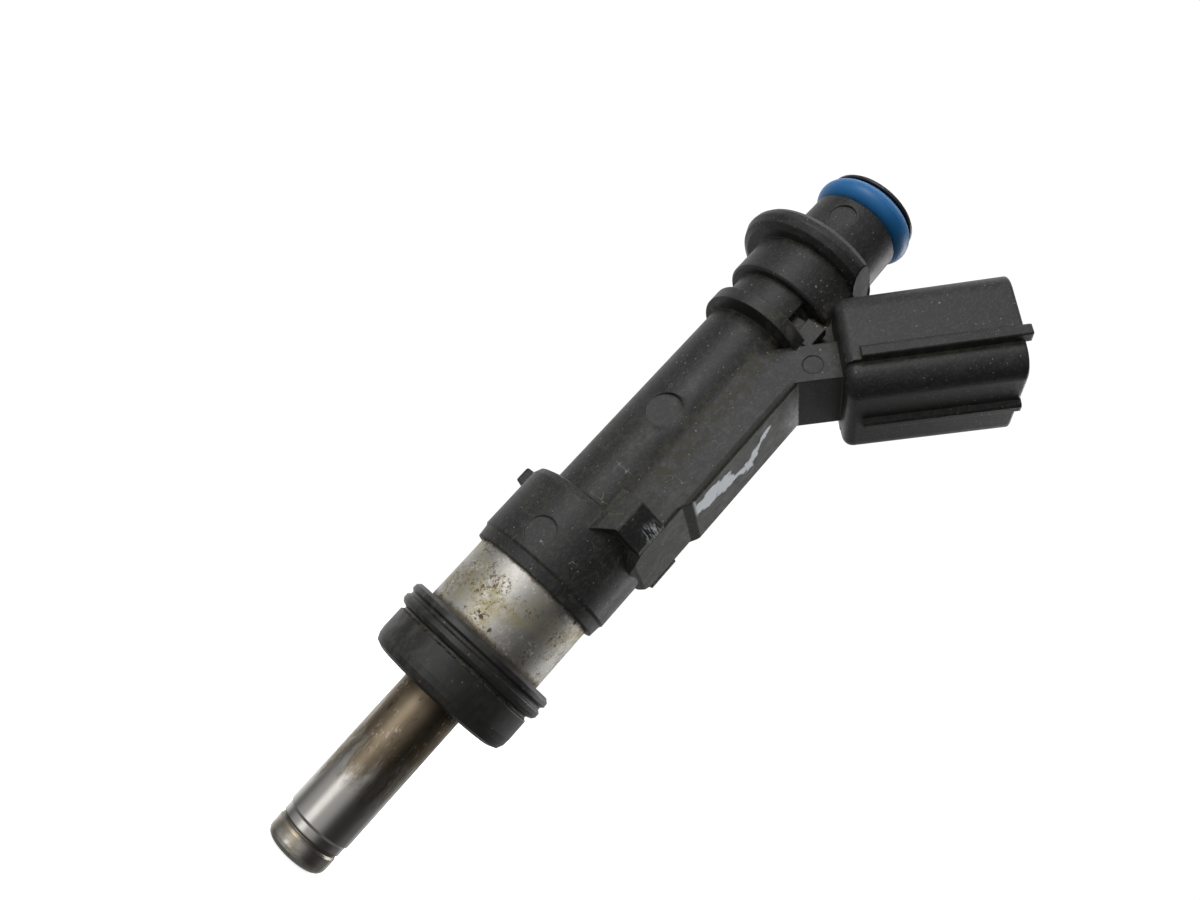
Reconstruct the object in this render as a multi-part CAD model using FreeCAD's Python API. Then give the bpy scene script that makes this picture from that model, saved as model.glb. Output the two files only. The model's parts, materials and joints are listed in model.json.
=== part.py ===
"""Solenoid port fuel injector with a long steel nozzle, modelled as its separate pieces.

Frame: millimetres, +Z along the injector axis towards the fuel inlet, +X towards the electrical
connector, XZ the plane of symmetry. The origin is on the axis, in the plane of the rubber
cushion's lower face, which is the face that rests on the engine's intake port.
"""
import FreeCAD, Part
import math
import os

Vec = FreeCAD.Vector
AXIS_Z = Vec(0, 0, 1)

# ---------------------------------------------------------------- driving dimensions
# Stations along the axis.
TIP_Z = -23.0                 # spray end of the nozzle cap
GROOVE_Z = -20.4              # weld groove between cap and nozzle tube
CUSHION_TOP_Z = 8.4
LOWER_COLLAR_Z = (17.3, 28.7)
CLIP_FLANGE_Z = (59.4, 61.2)
UPPER_NECK_Z = (65.5, 71.1)
UPPER_COLLAR_Z = (71.1, 74.7)
SEAL_SHOULDER_Z = 81.9        # shoulder under the fuel rail seal
RIM_Z = (85.2, 85.8)          # retaining rim above the seal
NECK_TOP_Z = -18.7            # upper end of the nozzle's necked weld zone
SLEEVE_TOP_Z = 30.0           # where the inlet tube steps down to the fuel tube

# Radii about the axis.
NOZZLE_R = 4.25
CAP_R = 4.05                  # nozzle cap, and the necked weld zone above it
NOZZLE_BORE_R = 3.40
SLEEVE_R = 3.95               # inlet tube and valve body where they run inside the solenoid
CUSHION_BORE_R = 4.4
CUSHION_BAND_R = 10.0
CUSHION_LIP_R = 10.6
CAN_R = 8.40
LOWER_COLLAR_R = 9.45
BARREL_R = (6.90, 6.65)       # moulded barrel, at its lower and upper end
CLIP_FLANGE_X = 0.65          # the flange is an ellipse, set a little towards the connector
CLIP_FLANGE_HALF_X = 8.25
CLIP_FLANGE_HALF_Y = 9.6
CLIP_SEAT_R = (5.6, 7.0)      # floor and outside of the clip seat
UPPER_NECK_R = 8.3
UPPER_COLLAR_R = 10.75
UPPER_COLLAR_X = -0.45        # the collar's centre is a little away from the connector
UPPER_COLLAR_FLAT_X = 7.3
SEAL_NECK_R = 6.35
RIM_R = 6.5
FUEL_TUBE_R = 3.88
FUEL_TUBE_BORE_R = 3.05

# Fuel rail seal.
SEAL_CENTRE_Z = 83.55
SEAL_SECTION_R = 1.63

# Inlet filter, inside the fuel tube.
FILTER_FOOT_Z = (69.2, 70.0)
FILTER_SKIRT_Z = 83.4
FILTER_BAR_R = (2.30, 2.90)
FILTER_BAR_WIDTH = 0.8
FILTER_MOUTH_R = 2.45
FILTER_MESH_R = (2.05, 2.28)

# Blocks beside the rail clip's slots.
CLIP_PAD_X = (5.7, 8.3)
CLIP_PAD_Y = (4.2, 5.7)
CLIP_PAD_TOP_Z = 64.1
CLIP_SHELL_EDGE = 57.0        # degrees round from +X at which the clip seat's shell starts

# Web that carries the terminals up the barrel, and the arm that carries them to the connector.
WEB_HALF_Y = 5.7
WEB_X = 10.25
WEB_FOOT_X = 9.6
WEB_FOOT_TOP_Z = 34.9
WEB_TOP_Z = 56.5
WEB_TOE_Z = 25.0              # lower end of the web's foot, a rounded tongue over the collar
WEB_TOE_ROUND = 4.4
BRIDGE_HALF_Y = 3.4
SADDLE_OUTLINE = ((5.0, 58.0), (8.0, 58.0), (11.5, 62.9), (8.0, 66.6), (9.0, 71.1), (5.0, 71.1))  # (x, z)
LUG_OUTLINE = ((3.7, -8.60), (4.6, -9.05), (6.7, -9.40), (7.1, -9.30), (9.55, -6.35), (9.6, -5.6),
               (9.0, -5.0), (5.0, -5.0))  # (x, y) corners of the ear on the -Y side
LUG_HEEL_X = 3.7
LUG_RIDGE_X = 6.7
LUG_TOP_Z = 31.7
LUG_HEEL_Z = (25.4, 27.2)     # lug's slanted lower face, at its heel and at its ridge
NUB_X = (-11.4, -8.6)
NUB_Z = (25.9, 28.1)
NUB_HALF_Y = 1.1

# Round marks left by the mould's ejector pins: (x, z, mark radius, radius of the wall it is sunk in).
ROUND_MARKS = ((0, 21.7, 1.95, LOWER_COLLAR_R), (0, 43.1, 2.45, 6.8), (0, 78.9, 1.75, SEAL_NECK_R))
ROUND_MARK_DEPTH = 0.06
ARM_MARK = (10.1, 59.1, 1.25)  # the mark on the arm's flat side: (x, z, mark radius)
ARM_MARK_DEPTH = 0.12

# Connector: local +Z points out of its mouth, local +X towards the nozzle side.
CONNECTOR_ANGLE = 45.0
CONNECTOR_BACK = Vec(12.37, 0, 63.2)
SHROUD_LENGTH = 19.4
SHROUD_HALF_H = 6.5
SHROUD_DEEPER = 0.6           # extra depth of the shell on the side that faces the nozzle
SHROUD_BACK_Z = -1.2          # the shell's back face
SHROUD_BACK_ROUND = 1.3
SHROUD_MOUTH_ROUND = 0.35
SHROUD_HALF_W = 9.3
SHROUD_CORNER_R = 3.0
SHROUD_WALL = 1.7
SHROUD_BACK_WALL = 2.6
SIDE_RIB_X = (2.3, 3.6)
SIDE_RIB_PROUD = 0.8
LOWER_SIDE_INSET = 0.7
RIB_START = 0.8               # where the ribs begin, measured from CONNECTOR_BACK
KEEL_HALF_Y = 0.8
KEEL_PROUD = 0.85
LATCH_START = 13.8            # foot of the latch ramp, measured from CONNECTOR_BACK
LATCH_PROUD = 1.3
LATCH_HALF_Y = 2.6
ARM_X = (-1.5, 3.6)

# Terminals.
BLADE_HALF_SPACING = 2.55
BLADE_WIDTH = 2.2
BLADE_THICKNESS = 0.64
BLADE_REACH = 12.6            # blade tip, measured from CONNECTOR_BACK
TERMINAL_X = 6.2

# Solenoid and valve.
CAN_Z = (3.0, 26.0)
CAN_WALL = 1.0
CAN_FLOOR = 1.6
BOBBIN_Z = (4.8, 23.6)
BOBBIN_FLANGE_R = 7.25
BOBBIN_HUB_R = 5.0
BOBBIN_FLANGE = 1.2
WINDING_R = 6.9
YOKE_Z = (23.7, 25.9)
SLEEVE_SPLIT_Z = (13.0, 16.0)  # ends of the non-magnetic ring
ARMATURE_Z = (10.5, 17.0)
ARMATURE_R = 3.34
AIR_GAP = 0.13                # armature to fixed core, closed valve
CORE_TOP_Z = 27.4
CORE_BORE_R = 1.75
SPRING_SEAT_Z = 15.2
ADJUSTER_Z = (24.0, 32.0)
ADJUSTER_BORE_R = 1.0
SPRING_WIRE_R = 0.25
SPRING_MEAN_R = 1.35
SPRING_TURNS = 8
ARMATURE_POCKET_R = 1.8
YOKE_SLOT_X = 5.0
YOKE_SLOT_HALF_Y = 4.2
NEEDLE_R = 1.40
NEEDLE_BORE_R = 1.00
BALL_R = 1.50
BALL_Z = -19.9
NEEDLE_HOLES_Z = (-16.5, 6.0)
NEEDLE_HOLE_R = 0.4
GUIDE_Z = (-12.5, -10.0)
GUIDE_HOLE_CIRCLE_R = 2.45
GUIDE_HOLE_R = 0.45
SEAT_TOP_Z = -17.6
SEAT_OUTLET_R = 0.65
SEAT_GROOVE_CIRCLE_R = 1.75
SEAT_GROOVE_R = 0.5
CAP_MOUTH_R = 1.7
CAP_ROUND = 1.0
CAP_END_WALL = 0.75
ORIFICE_PLATE = 0.25          # thickness
ORIFICE_CIRCLES = ((8, 1.15), (4, 0.6))  # number of holes and circle radius
ORIFICE_R = 0.11
SEAT_GAP = 0.03
RUNNING_CLEARANCE = 0.06


# ---------------------------------------------------------------- helpers
def revolve(points):
    """Solid of revolution about Z from (radius, z) corners."""
    corners = [Vec(r, 0, z) for r, z in points]
    wire = Part.makePolygon(corners + corners[:1])
    return Part.Face(wire).revolve(Vec(0, 0, 0), AXIS_Z, 360)


def ring(inner_r, outer_r, z0, z1):
    outer = Part.makeCylinder(outer_r, z1 - z0, Vec(0, 0, z0))
    if inner_r <= 0:
        return outer
    return outer.cut(Part.makeCylinder(inner_r, z1 - z0, Vec(0, 0, z0)))


def elliptical_disc(centre_x, half_x, half_y, z0, z1):
    """Upright elliptical disc whose long axis is along Y."""
    centre = Vec(centre_x, 0, z0)
    curve = Part.Ellipse(centre + Vec(0, half_y, 0), centre + Vec(half_x, 0, 0), centre)
    face = Part.Face(Part.Wire(curve.toShape()))
    return face.extrude(Vec(0, 0, z1 - z0))


def box(x, y, z):
    """Box from (low, high) pairs."""
    return Part.makeBox(x[1] - x[0], y[1] - y[0], z[1] - z[0], Vec(x[0], y[0], z[0]))


def prism_y(points, y0, y1):
    """Prism from (x, z) corners, between two planes of constant Y."""
    corners = [Vec(x, y0, z) for x, z in points]
    wire = Part.makePolygon(corners + corners[:1])
    return Part.Face(wire).extrude(Vec(0, y1 - y0, 0))


def prism_z(points, z0, z1):
    """Prism from (x, y) corners, between two planes of constant Z."""
    corners = [Vec(x, y, z0) for x, y in points]
    wire = Part.makePolygon(corners + corners[:1])
    return Part.Face(wire).extrude(Vec(0, 0, z1 - z0))


def union(shapes):
    joined = shapes[0].fuse(shapes[1:])
    return joined.removeSplitter()


def both_sides(shape):
    """The shape and its mirror image across the plane of symmetry."""
    return [shape, shape.mirror(Vec(0, 0, 0), Vec(0, 1, 0))]


def round_edges(shape, radius, wanted):
    """Fillet the edges whose mid-point and shape satisfy the test."""
    edges = [edge for edge in shape.Edges if wanted(edge)]
    return shape.makeFillet(radius, edges)


def to_connector(shape):
    """Move a shape from the connector's local frame to the part's frame."""
    turned = shape.copy()
    turned.rotate(Vec(0, 0, 0), Vec(0, 1, 0), CONNECTOR_ANGLE)
    turned.translate(CONNECTOR_BACK)
    return turned


def rounded_block(back_x, front_x, half_y, z0, z1, radius):
    """Upright block from -back_x to front_x with its four upright edges rounded."""
    block = box((-back_x, front_x), (-half_y, half_y), (z0, z1))

    def upright(edge):
        return abs(edge.tangentAt(edge.FirstParameter).z) > 0.99

    return round_edges(block, radius, upright)


# ---------------------------------------------------------------- moulded body
def barrel():
    """Everything on the moulding that turns about the axis."""
    z_low, z_high = LOWER_COLLAR_Z
    flange_low, flange_high = CLIP_FLANGE_Z
    neck_low, neck_high = UPPER_NECK_Z
    collar_low, collar_high = UPPER_COLLAR_Z
    collar_r = LOWER_COLLAR_R
    lower = revolve([(0, z_low), (collar_r - 0.35, z_low), (collar_r - 0.2, z_low + 1.5),
                     (collar_r, z_low + 1.8), (collar_r, z_high - 1.2), (collar_r - 0.35, z_high - 0.35),
                     (collar_r - 1.2, z_high), (BARREL_R[0], z_high), (BARREL_R[1], flange_low),
                     (0, flange_low)])
    flange = elliptical_disc(CLIP_FLANGE_X, CLIP_FLANGE_HALF_X, CLIP_FLANGE_HALF_Y, flange_low, flange_high)
    upper_r = UPPER_COLLAR_R
    neck = revolve([(0, neck_low), (UPPER_NECK_R - 0.3, neck_low), (UPPER_NECK_R, neck_low + 0.3),
                    (UPPER_NECK_R, neck_high), (0, neck_high)])
    collar = revolve([(0, collar_low), (upper_r - 1.3, collar_low), (upper_r - 0.4, collar_low + 0.5),
                      (upper_r, collar_low + 1.4), (upper_r, collar_high - 1.9),
                      (upper_r - 0.12, collar_high - 1.3), (upper_r - 0.45, collar_high - 0.75),
                      (upper_r - 1.0, collar_high - 0.35), (upper_r - 1.8, collar_high - 0.1),
                      (upper_r - 2.4, collar_high), (0, collar_high)])
    collar.translate(Vec(UPPER_COLLAR_X, 0, 0))
    far = 2 * upper_r
    flat = box((UPPER_COLLAR_FLAT_X, far), (-far, far), (collar_low, collar_high))
    seal_neck = revolve([(0, collar_high - 0.5), (SEAL_NECK_R + 1.1, collar_high - 0.5),
                         (SEAL_NECK_R + 1.1, collar_high + 0.25), (SEAL_NECK_R + 0.5, collar_high + 0.7),
                         (SEAL_NECK_R + 0.15, collar_high + 1.5), (SEAL_NECK_R, SEAL_SHOULDER_Z - 0.25),
                         (SEAL_NECK_R - 0.25, SEAL_SHOULDER_Z), (0, SEAL_SHOULDER_Z)])
    seal_neck = seal_neck.cut(flat)
    return [lower, flange, neck, collar.cut(flat), seal_neck]


def clip_seat():
    """Reduced section between flange and neck, with the slots that take the rail clip's legs."""
    z0 = CLIP_FLANGE_Z[1]
    z1 = UPPER_NECK_Z[0]
    core = ring(0, CLIP_SEAT_R[0], z0, z1)
    slot_edge = math.radians(CLIP_SHELL_EDGE)
    shell = ring(CLIP_SEAT_R[0] - 0.2, CLIP_SEAT_R[1], z0, z1)
    wedge_x = CLIP_SEAT_R[1] * 2
    wedge_y = wedge_x * math.tan(slot_edge)
    shell = shell.cut(prism_z([(0, 0), (wedge_x, -wedge_y), (wedge_x, wedge_y)], z0, z1))
    pad = box((CLIP_SEAT_R[0] / 2, CLIP_PAD_X[1]), CLIP_PAD_Y, (z0 - 0.5, CLIP_PAD_TOP_Z))
    notch = box((0, CLIP_PAD_X[0]), (CLIP_PAD_Y[0] + 0.4, CLIP_PAD_Y[1]), (z0, CLIP_PAD_TOP_Z))
    return [core, shell] + both_sides(pad.cut(notch))


def web():
    """Rib up the barrel that covers the terminals, its foot a rounded tongue over the collar."""
    toe_z = WEB_TOE_Z
    rib = prism_y([(0, toe_z), (WEB_FOOT_X - 1.2, toe_z), (WEB_FOOT_X - 0.35, toe_z + 0.35),
                   (WEB_FOOT_X, toe_z + 1.2), (WEB_FOOT_X, WEB_FOOT_TOP_Z), (WEB_X, WEB_FOOT_TOP_Z + 1.1),
                   (WEB_X, WEB_TOP_Z), (0, WEB_TOP_Z)], -WEB_HALF_Y, WEB_HALF_Y)

    def long_corner(edge):
        middle = edge.valueAt((edge.FirstParameter + edge.LastParameter) / 2)
        return middle.x > WEB_FOOT_X - 0.1 and abs(middle.y) > WEB_HALF_Y - 0.1 and edge.Length > 5

    rib = round_edges(rib, 0.5, long_corner)
    turn_y = WEB_HALF_Y - WEB_TOE_ROUND
    turn_z = toe_z + WEB_TOE_ROUND
    reach = WEB_X + 2
    tongue_corner = box((-1, reach), (turn_y, WEB_HALF_Y + 1), (toe_z - 1, turn_z))
    tongue_corner = tongue_corner.cut(Part.makeCylinder(WEB_TOE_ROUND, reach + 1, Vec(-1, turn_y, turn_z),
                                                        Vec(1, 0, 0)))
    return [rib.cut(both_sides(tongue_corner))]


def lug():
    """Ridged ear beside the web's foot, its lower face slanting up towards the ridge."""
    heel_z, ridge_z = LUG_HEEL_Z
    ear = prism_z(LUG_OUTLINE, heel_z - 0.5, LUG_TOP_Z)
    inner_x = LUG_HEEL_X - 1
    outer_x = WEB_X + 2
    below = prism_y([(inner_x, heel_z - 1), (outer_x, heel_z - 1), (outer_x, ridge_z), (LUG_RIDGE_X, ridge_z),
                     (LUG_HEEL_X, heel_z), (inner_x, heel_z)], -12, 0)
    return ear.cut(below)


def nub():
    """Small keying nub on the collar, opposite the connector."""
    block = box(NUB_X, (-NUB_HALF_Y, NUB_HALF_Y), NUB_Z)

    def outer_corner(edge):
        middle = edge.valueAt((edge.FirstParameter + edge.LastParameter) / 2)
        return middle.x < NUB_X[0] + 0.1

    return round_edges(block, 0.6, outer_corner)


def shell_block(half_w):
    """Connector shell of one width, its back and mouth outlines rounded."""
    low_x = SHROUD_HALF_H + SHROUD_DEEPER
    block = rounded_block(SHROUD_HALF_H, low_x, half_w, SHROUD_BACK_Z, SHROUD_LENGTH, SHROUD_CORNER_R)

    def lies_at(z):
        return lambda edge: all(abs(vertex.Z - z) < 0.01 for vertex in edge.Vertexes)

    block = round_edges(block, SHROUD_BACK_ROUND, lies_at(SHROUD_BACK_Z))
    return round_edges(block, SHROUD_MOUTH_ROUND, lies_at(SHROUD_LENGTH))


def side_rib():
    """Guide rib along the shell, where the wide upper part meets the narrower lower part."""
    x0, x1 = SIDE_RIB_X
    root = SHROUD_HALF_W
    crest = root + SIDE_RIB_PROUD
    return prism_z([(x0 - 0.5, root - 0.6), (x0 - 0.5, root), (x0, crest - 0.1), (x1 - 0.15, crest),
                    (x1, crest - 0.15), (x1, root - 0.9)], RIB_START, SHROUD_LENGTH + 0.6)


def keel(low_x):
    """Rib along the middle of the shell's nozzle side."""
    half = KEEL_HALF_Y
    crest = low_x + KEEL_PROUD
    return prism_z([(low_x - 0.3, -half - 0.15), (crest - 0.25, -half), (crest, -half + 0.3),
                    (crest, half - 0.3), (crest - 0.25, half), (low_x - 0.3, half + 0.15)],
                   RIB_START, SHROUD_LENGTH)


def latch():
    """Ramp on the shell's inlet side that the plug's tongue snaps over."""
    root = -SHROUD_HALF_H
    crest = root - LATCH_PROUD
    return prism_y([(root + 0.3, LATCH_START), (crest, LATCH_START + 0.2), (crest, LATCH_START + 1.4),
                    (root, LATCH_START + 4.4), (root + 0.3, LATCH_START + 4.4)], -LATCH_HALF_Y, LATCH_HALF_Y)


def shroud():
    """Connector shell with its ribs and latch ramp, and its cavity, in the connector's frame."""
    half_h = SHROUD_HALF_H
    half_w = SHROUD_HALF_W
    low_x = half_h + SHROUD_DEEPER
    narrow_w = half_w - LOWER_SIDE_INSET
    below_rib = box((SIDE_RIB_X[1], low_x + 1), (-half_w - 1, half_w + 1),
                    (SHROUD_BACK_Z - 1, SHROUD_LENGTH + 1))
    wide = shell_block(half_w).cut(below_rib)
    arm = box(ARM_X, (-WEB_HALF_Y, WEB_HALF_Y), (-10.5, 0.5))
    solid = union([shell_block(narrow_w), wide, keel(low_x), latch(), arm] + both_sides(side_rib()))
    cavity = rounded_block(half_h - SHROUD_WALL, low_x - SHROUD_WALL, narrow_w - SHROUD_WALL,
                           SHROUD_BACK_WALL, SHROUD_LENGTH + 2, SHROUD_CORNER_R - 1.2)
    return solid, cavity


def saddle():
    """Moulded bridge from the barrel and upper neck to the connector's back, below the collar."""
    return prism_y(SADDLE_OUTLINE, -BRIDGE_HALF_Y, BRIDGE_HALF_Y)


def ejector_marks():
    """Shallow round mould marks, as cutters, on the two faces square to the mould's opening."""
    seats = []
    for x, z, mark_r, wall_r in ROUND_MARKS:
        seats.append((x, z, mark_r, math.sqrt(wall_r ** 2 - mark_r ** 2) - ROUND_MARK_DEPTH))
    seats.append(ARM_MARK + (WEB_HALF_Y - ARM_MARK_DEPTH,))
    marks = []
    for x, z, mark_r, floor_y in seats:
        marks.append(Part.makeCylinder(mark_r, 6, Vec(x, floor_y, z), Vec(0, 1, 0)))
        marks.append(Part.makeCylinder(mark_r, 6, Vec(x, -floor_y, z), Vec(0, -1, 0)))
    return marks


def inner_space():
    """Room inside the moulding for the can, the yoke ring and the fuel tube."""
    return revolve([(0, LOWER_COLLAR_Z[0] - 1), (CAN_R, LOWER_COLLAR_Z[0] - 1), (CAN_R, CAN_Z[1]),
                    (SLEEVE_R, CAN_Z[1]), (SLEEVE_R, SLEEVE_TOP_Z), (FUEL_TUBE_R, SLEEVE_TOP_Z),
                    (FUEL_TUBE_R, SEAL_SHOULDER_Z + 1), (0, SEAL_SHOULDER_Z + 1)])


def overmould_body():
    connector, cavity = shroud()
    pieces = barrel() + clip_seat() + web() + both_sides(lug()) + [nub(), to_connector(connector), saddle()]
    body = union(pieces)
    cutters = [inner_space(), to_connector(cavity)] + ejector_marks()
    for side in (-1, 1):
        cutters.append(terminal(side))
    return body.cut(cutters)


def terminal(side):
    """One flat terminal: up the web, round the bend, and out into the connector as a blade."""
    y_mid = side * BLADE_HALF_SPACING
    y0 = y_mid - BLADE_WIDTH / 2
    y1 = y_mid + BLADE_WIDTH / 2
    half = BLADE_THICKNESS / 2
    slope = math.tan(math.radians(CONNECTOR_ANGLE / 2)) * half
    bend_z = CONNECTOR_BACK.z - (CONNECTOR_BACK.x - TERMINAL_X)
    along = math.sin(math.radians(CONNECTOR_ANGLE))
    tip_x = CONNECTOR_BACK.x + BLADE_REACH * along
    tip_z = CONNECTOR_BACK.z + BLADE_REACH * along
    off = half * along
    nose = 0.7 * along
    taper = 0.2 * along
    outline = [(TERMINAL_X - half, BOBBIN_Z[1]), (TERMINAL_X + half, BOBBIN_Z[1]),
               (TERMINAL_X + half, bend_z - slope), (tip_x + off - nose, tip_z - off - nose),
               (tip_x + taper, tip_z - taper), (tip_x - taper, tip_z + taper),
               (tip_x - off - nose, tip_z + off - nose), (TERMINAL_X - half, bend_z + slope)]
    return prism_y(outline, y0, y1)


# ---------------------------------------------------------------- seals and inlet
def upper_o_ring():
    return Part.makeTorus(FUEL_TUBE_R + SEAL_SECTION_R, SEAL_SECTION_R, Vec(0, 0, SEAL_CENTRE_Z))


def lower_cushion():
    """Rubber cushion that seats in the port: plain band below, two lips above."""
    band = CUSHION_BAND_R
    lip = CUSHION_LIP_R
    return revolve([(CUSHION_BORE_R, 0), (band - 1.3, 0), (band - 0.45, 0.35), (band - 0.1, 1.1), (band, 2.0),
                    (band, 4.75), (band - 0.35, 5.0), (band - 0.35, 5.25), (band + 0.3, 5.5),
                    (lip, 5.9), (lip, 6.5), (lip - 0.35, 6.8), (lip - 0.35, 7.1), (lip, 7.4),
                    (lip - 0.05, 8.0), (lip - 0.5, CUSHION_TOP_Z), (CAN_R, CUSHION_TOP_Z),
                    (CAN_R, CAN_Z[0]), (CUSHION_BORE_R, CAN_Z[0])])


def inlet_filter_frame():
    """Plastic filter head that also retains the seal, with its four-bar cage inside the tube."""
    low, high = RIM_Z
    mouth_r = FILTER_MOUTH_R
    head = revolve([(mouth_r, low), (RIM_R - 0.1, low), (RIM_R, low + 0.1), (RIM_R, high - 0.2),
                    (RIM_R - 0.2, high), (mouth_r + 0.5, high), (mouth_r, high - 0.4)])
    skirt = ring(mouth_r, FUEL_TUBE_BORE_R, FILTER_SKIRT_Z, low + 0.1)
    foot = ring(0, FILTER_BAR_R[1], *FILTER_FOOT_Z)
    half = FILTER_BAR_WIDTH / 2
    bars = []
    for quarter in range(4):
        bar = box(FILTER_BAR_R, (-half, half), (FILTER_FOOT_Z[1] - 0.2, FILTER_SKIRT_Z + 0.1))
        bar.rotate(Vec(0, 0, 0), AXIS_Z, 45 + 90 * quarter)
        bars.append(bar)
    return union([head, skirt, foot] + bars)


def inlet_filter_mesh():
    return ring(*FILTER_MESH_R, FILTER_FOOT_Z[1], FILTER_SKIRT_Z)


def inlet_tube():
    return revolve([(NOZZLE_BORE_R, SLEEVE_SPLIT_Z[1]), (SLEEVE_R, SLEEVE_SPLIT_Z[1]),
                    (SLEEVE_R, SLEEVE_TOP_Z), (FUEL_TUBE_R, SLEEVE_TOP_Z),
                    (FUEL_TUBE_R, RIM_Z[0]), (FUEL_TUBE_BORE_R, RIM_Z[0]),
                    (FUEL_TUBE_BORE_R, CORE_TOP_Z), (NOZZLE_BORE_R, CORE_TOP_Z)])


# ---------------------------------------------------------------- solenoid
def solenoid_housing():
    low, high = CAN_Z
    inner = CAN_R - CAN_WALL
    return revolve([(SLEEVE_R, low), (CAN_R - 0.8, low), (CAN_R, low + 0.8), (CAN_R, high),
                    (inner, high), (inner, low + CAN_FLOOR), (SLEEVE_R, low + CAN_FLOOR)])


def coil_bobbin():
    low, high = BOBBIN_Z
    hub = ring(SLEEVE_R + 0.05, BOBBIN_HUB_R, low, high)
    lower = ring(SLEEVE_R + 0.05, BOBBIN_FLANGE_R, low, low + BOBBIN_FLANGE)
    upper = ring(SLEEVE_R + 0.05, BOBBIN_FLANGE_R, high - BOBBIN_FLANGE, high)
    return union([hub, lower, upper])


def coil_winding():
    return ring(BOBBIN_HUB_R, WINDING_R, BOBBIN_Z[0] + BOBBIN_FLANGE, BOBBIN_Z[1] - BOBBIN_FLANGE)


def upper_yoke_ring():
    """Flux ring over the coil, open on the connector side for the terminals."""
    plate = ring(SLEEVE_R, CAN_R - CAN_WALL, *YOKE_Z)
    return plate.cut(box((YOKE_SLOT_X, CAN_R + 1), (-YOKE_SLOT_HALF_Y, YOKE_SLOT_HALF_Y),
                         (YOKE_Z[0] - 1, YOKE_Z[1] + 1)))


def nonmagnetic_ring():
    return ring(NOZZLE_BORE_R, SLEEVE_R, *SLEEVE_SPLIT_Z)


def fixed_core():
    return ring(CORE_BORE_R, NOZZLE_BORE_R, ARMATURE_Z[1] + AIR_GAP, CORE_TOP_Z)


def adjuster_sleeve():
    return ring(ADJUSTER_BORE_R, CORE_BORE_R, *ADJUSTER_Z)


def return_spring():
    """Closed-valve length of the spring, between the armature's seat and the adjuster."""
    low = SPRING_SEAT_Z + SPRING_WIRE_R
    length = ADJUSTER_Z[0] - SPRING_WIRE_R - low
    helix = Part.makeHelix(length / SPRING_TURNS, length, SPRING_MEAN_R)
    helix.translate(Vec(0, 0, low))
    section = Part.Wire(Part.makeCircle(SPRING_WIRE_R, Vec(SPRING_MEAN_R, 0, low), Vec(0, 1, 0)))
    return Part.Wire(helix).makePipeShell([section], True, True)


# ---------------------------------------------------------------- valve, moving
def armature():
    low, high = ARMATURE_Z
    return revolve([(NEEDLE_R, low), (ARMATURE_R - 0.3, low), (ARMATURE_R, low + 0.3),
                    (ARMATURE_R, high - 0.15), (ARMATURE_R - 0.15, high), (ARMATURE_POCKET_R, high),
                    (ARMATURE_POCKET_R, SPRING_SEAT_Z), (NEEDLE_R, SPRING_SEAT_Z)])


def needle_tube():
    """Hollow needle from the armature to the ball, with cross holes that let the fuel out."""
    ball_top = BALL_Z + math.sqrt(BALL_R ** 2 - NEEDLE_BORE_R ** 2)
    tube = ring(NEEDLE_BORE_R, NEEDLE_R, ball_top, SPRING_SEAT_Z)
    holes = []
    for z in NEEDLE_HOLES_Z:
        for direction in (Vec(1, 0, 0), Vec(0, 1, 0)):
            holes.append(Part.makeCylinder(NEEDLE_HOLE_R, 6, Vec(0, 0, z) - direction * 3, direction))
    return tube.cut(holes)


def valve_ball():
    return Part.makeSphere(BALL_R, Vec(0, 0, BALL_Z))


# ---------------------------------------------------------------- nozzle
def nozzle_tube():
    """Long valve body, necked at its lower end where the cap is welded on."""
    top = SLEEVE_SPLIT_Z[0]
    return revolve([(NOZZLE_BORE_R, GROOVE_Z), (CAP_R - 0.15, GROOVE_Z), (CAP_R - 0.15, GROOVE_Z + 0.25),
                    (CAP_R, GROOVE_Z + 0.4), (CAP_R, NECK_TOP_Z - 0.3),
                    (NOZZLE_R, NECK_TOP_Z), (NOZZLE_R, 0), (SLEEVE_R, 0.3), (SLEEVE_R, top),
                    (NOZZLE_BORE_R, top)])


def nozzle_cap():
    """Cap that closes the nozzle round the orifice plate, with a rounded outer edge."""
    centre_r = CAP_R - CAP_ROUND
    corners = [(CAP_MOUTH_R, TIP_Z + 0.35), (CAP_MOUTH_R + 0.3, TIP_Z)]
    for step in range(5):
        turn = math.radians(90 * step / 4)
        corners.append((centre_r + CAP_ROUND * math.sin(turn), TIP_Z + CAP_ROUND * (1 - math.cos(turn))))
    inside_z = TIP_Z + CAP_END_WALL
    corners += [(CAP_R, GROOVE_Z - 0.3), (CAP_R - 0.15, GROOVE_Z), (NOZZLE_BORE_R, GROOVE_Z),
                (NOZZLE_BORE_R, inside_z), (CAP_MOUTH_R, inside_z)]
    return revolve(corners)


def holes_on_circle(count, circle_r, hole_r, z, first_turn=0.0):
    """Cylinders along the axis, evenly spaced on a circle, as cutters that start at height z."""
    holes = []
    for index in range(count):
        turn = math.radians(first_turn + 360 * index / count)
        centre = Vec(circle_r * math.cos(turn), circle_r * math.sin(turn), z)
        holes.append(Part.makeCylinder(hole_r, 6, centre))
    return holes


def orifice_plate():
    low = TIP_Z + CAP_END_WALL
    plate = ring(0, NOZZLE_BORE_R, low, low + ORIFICE_PLATE)
    holes = []
    for count, circle_r in ORIFICE_CIRCLES:
        holes += holes_on_circle(count, circle_r, ORIFICE_R, low - 1)
    return plate.cut(holes)


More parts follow.
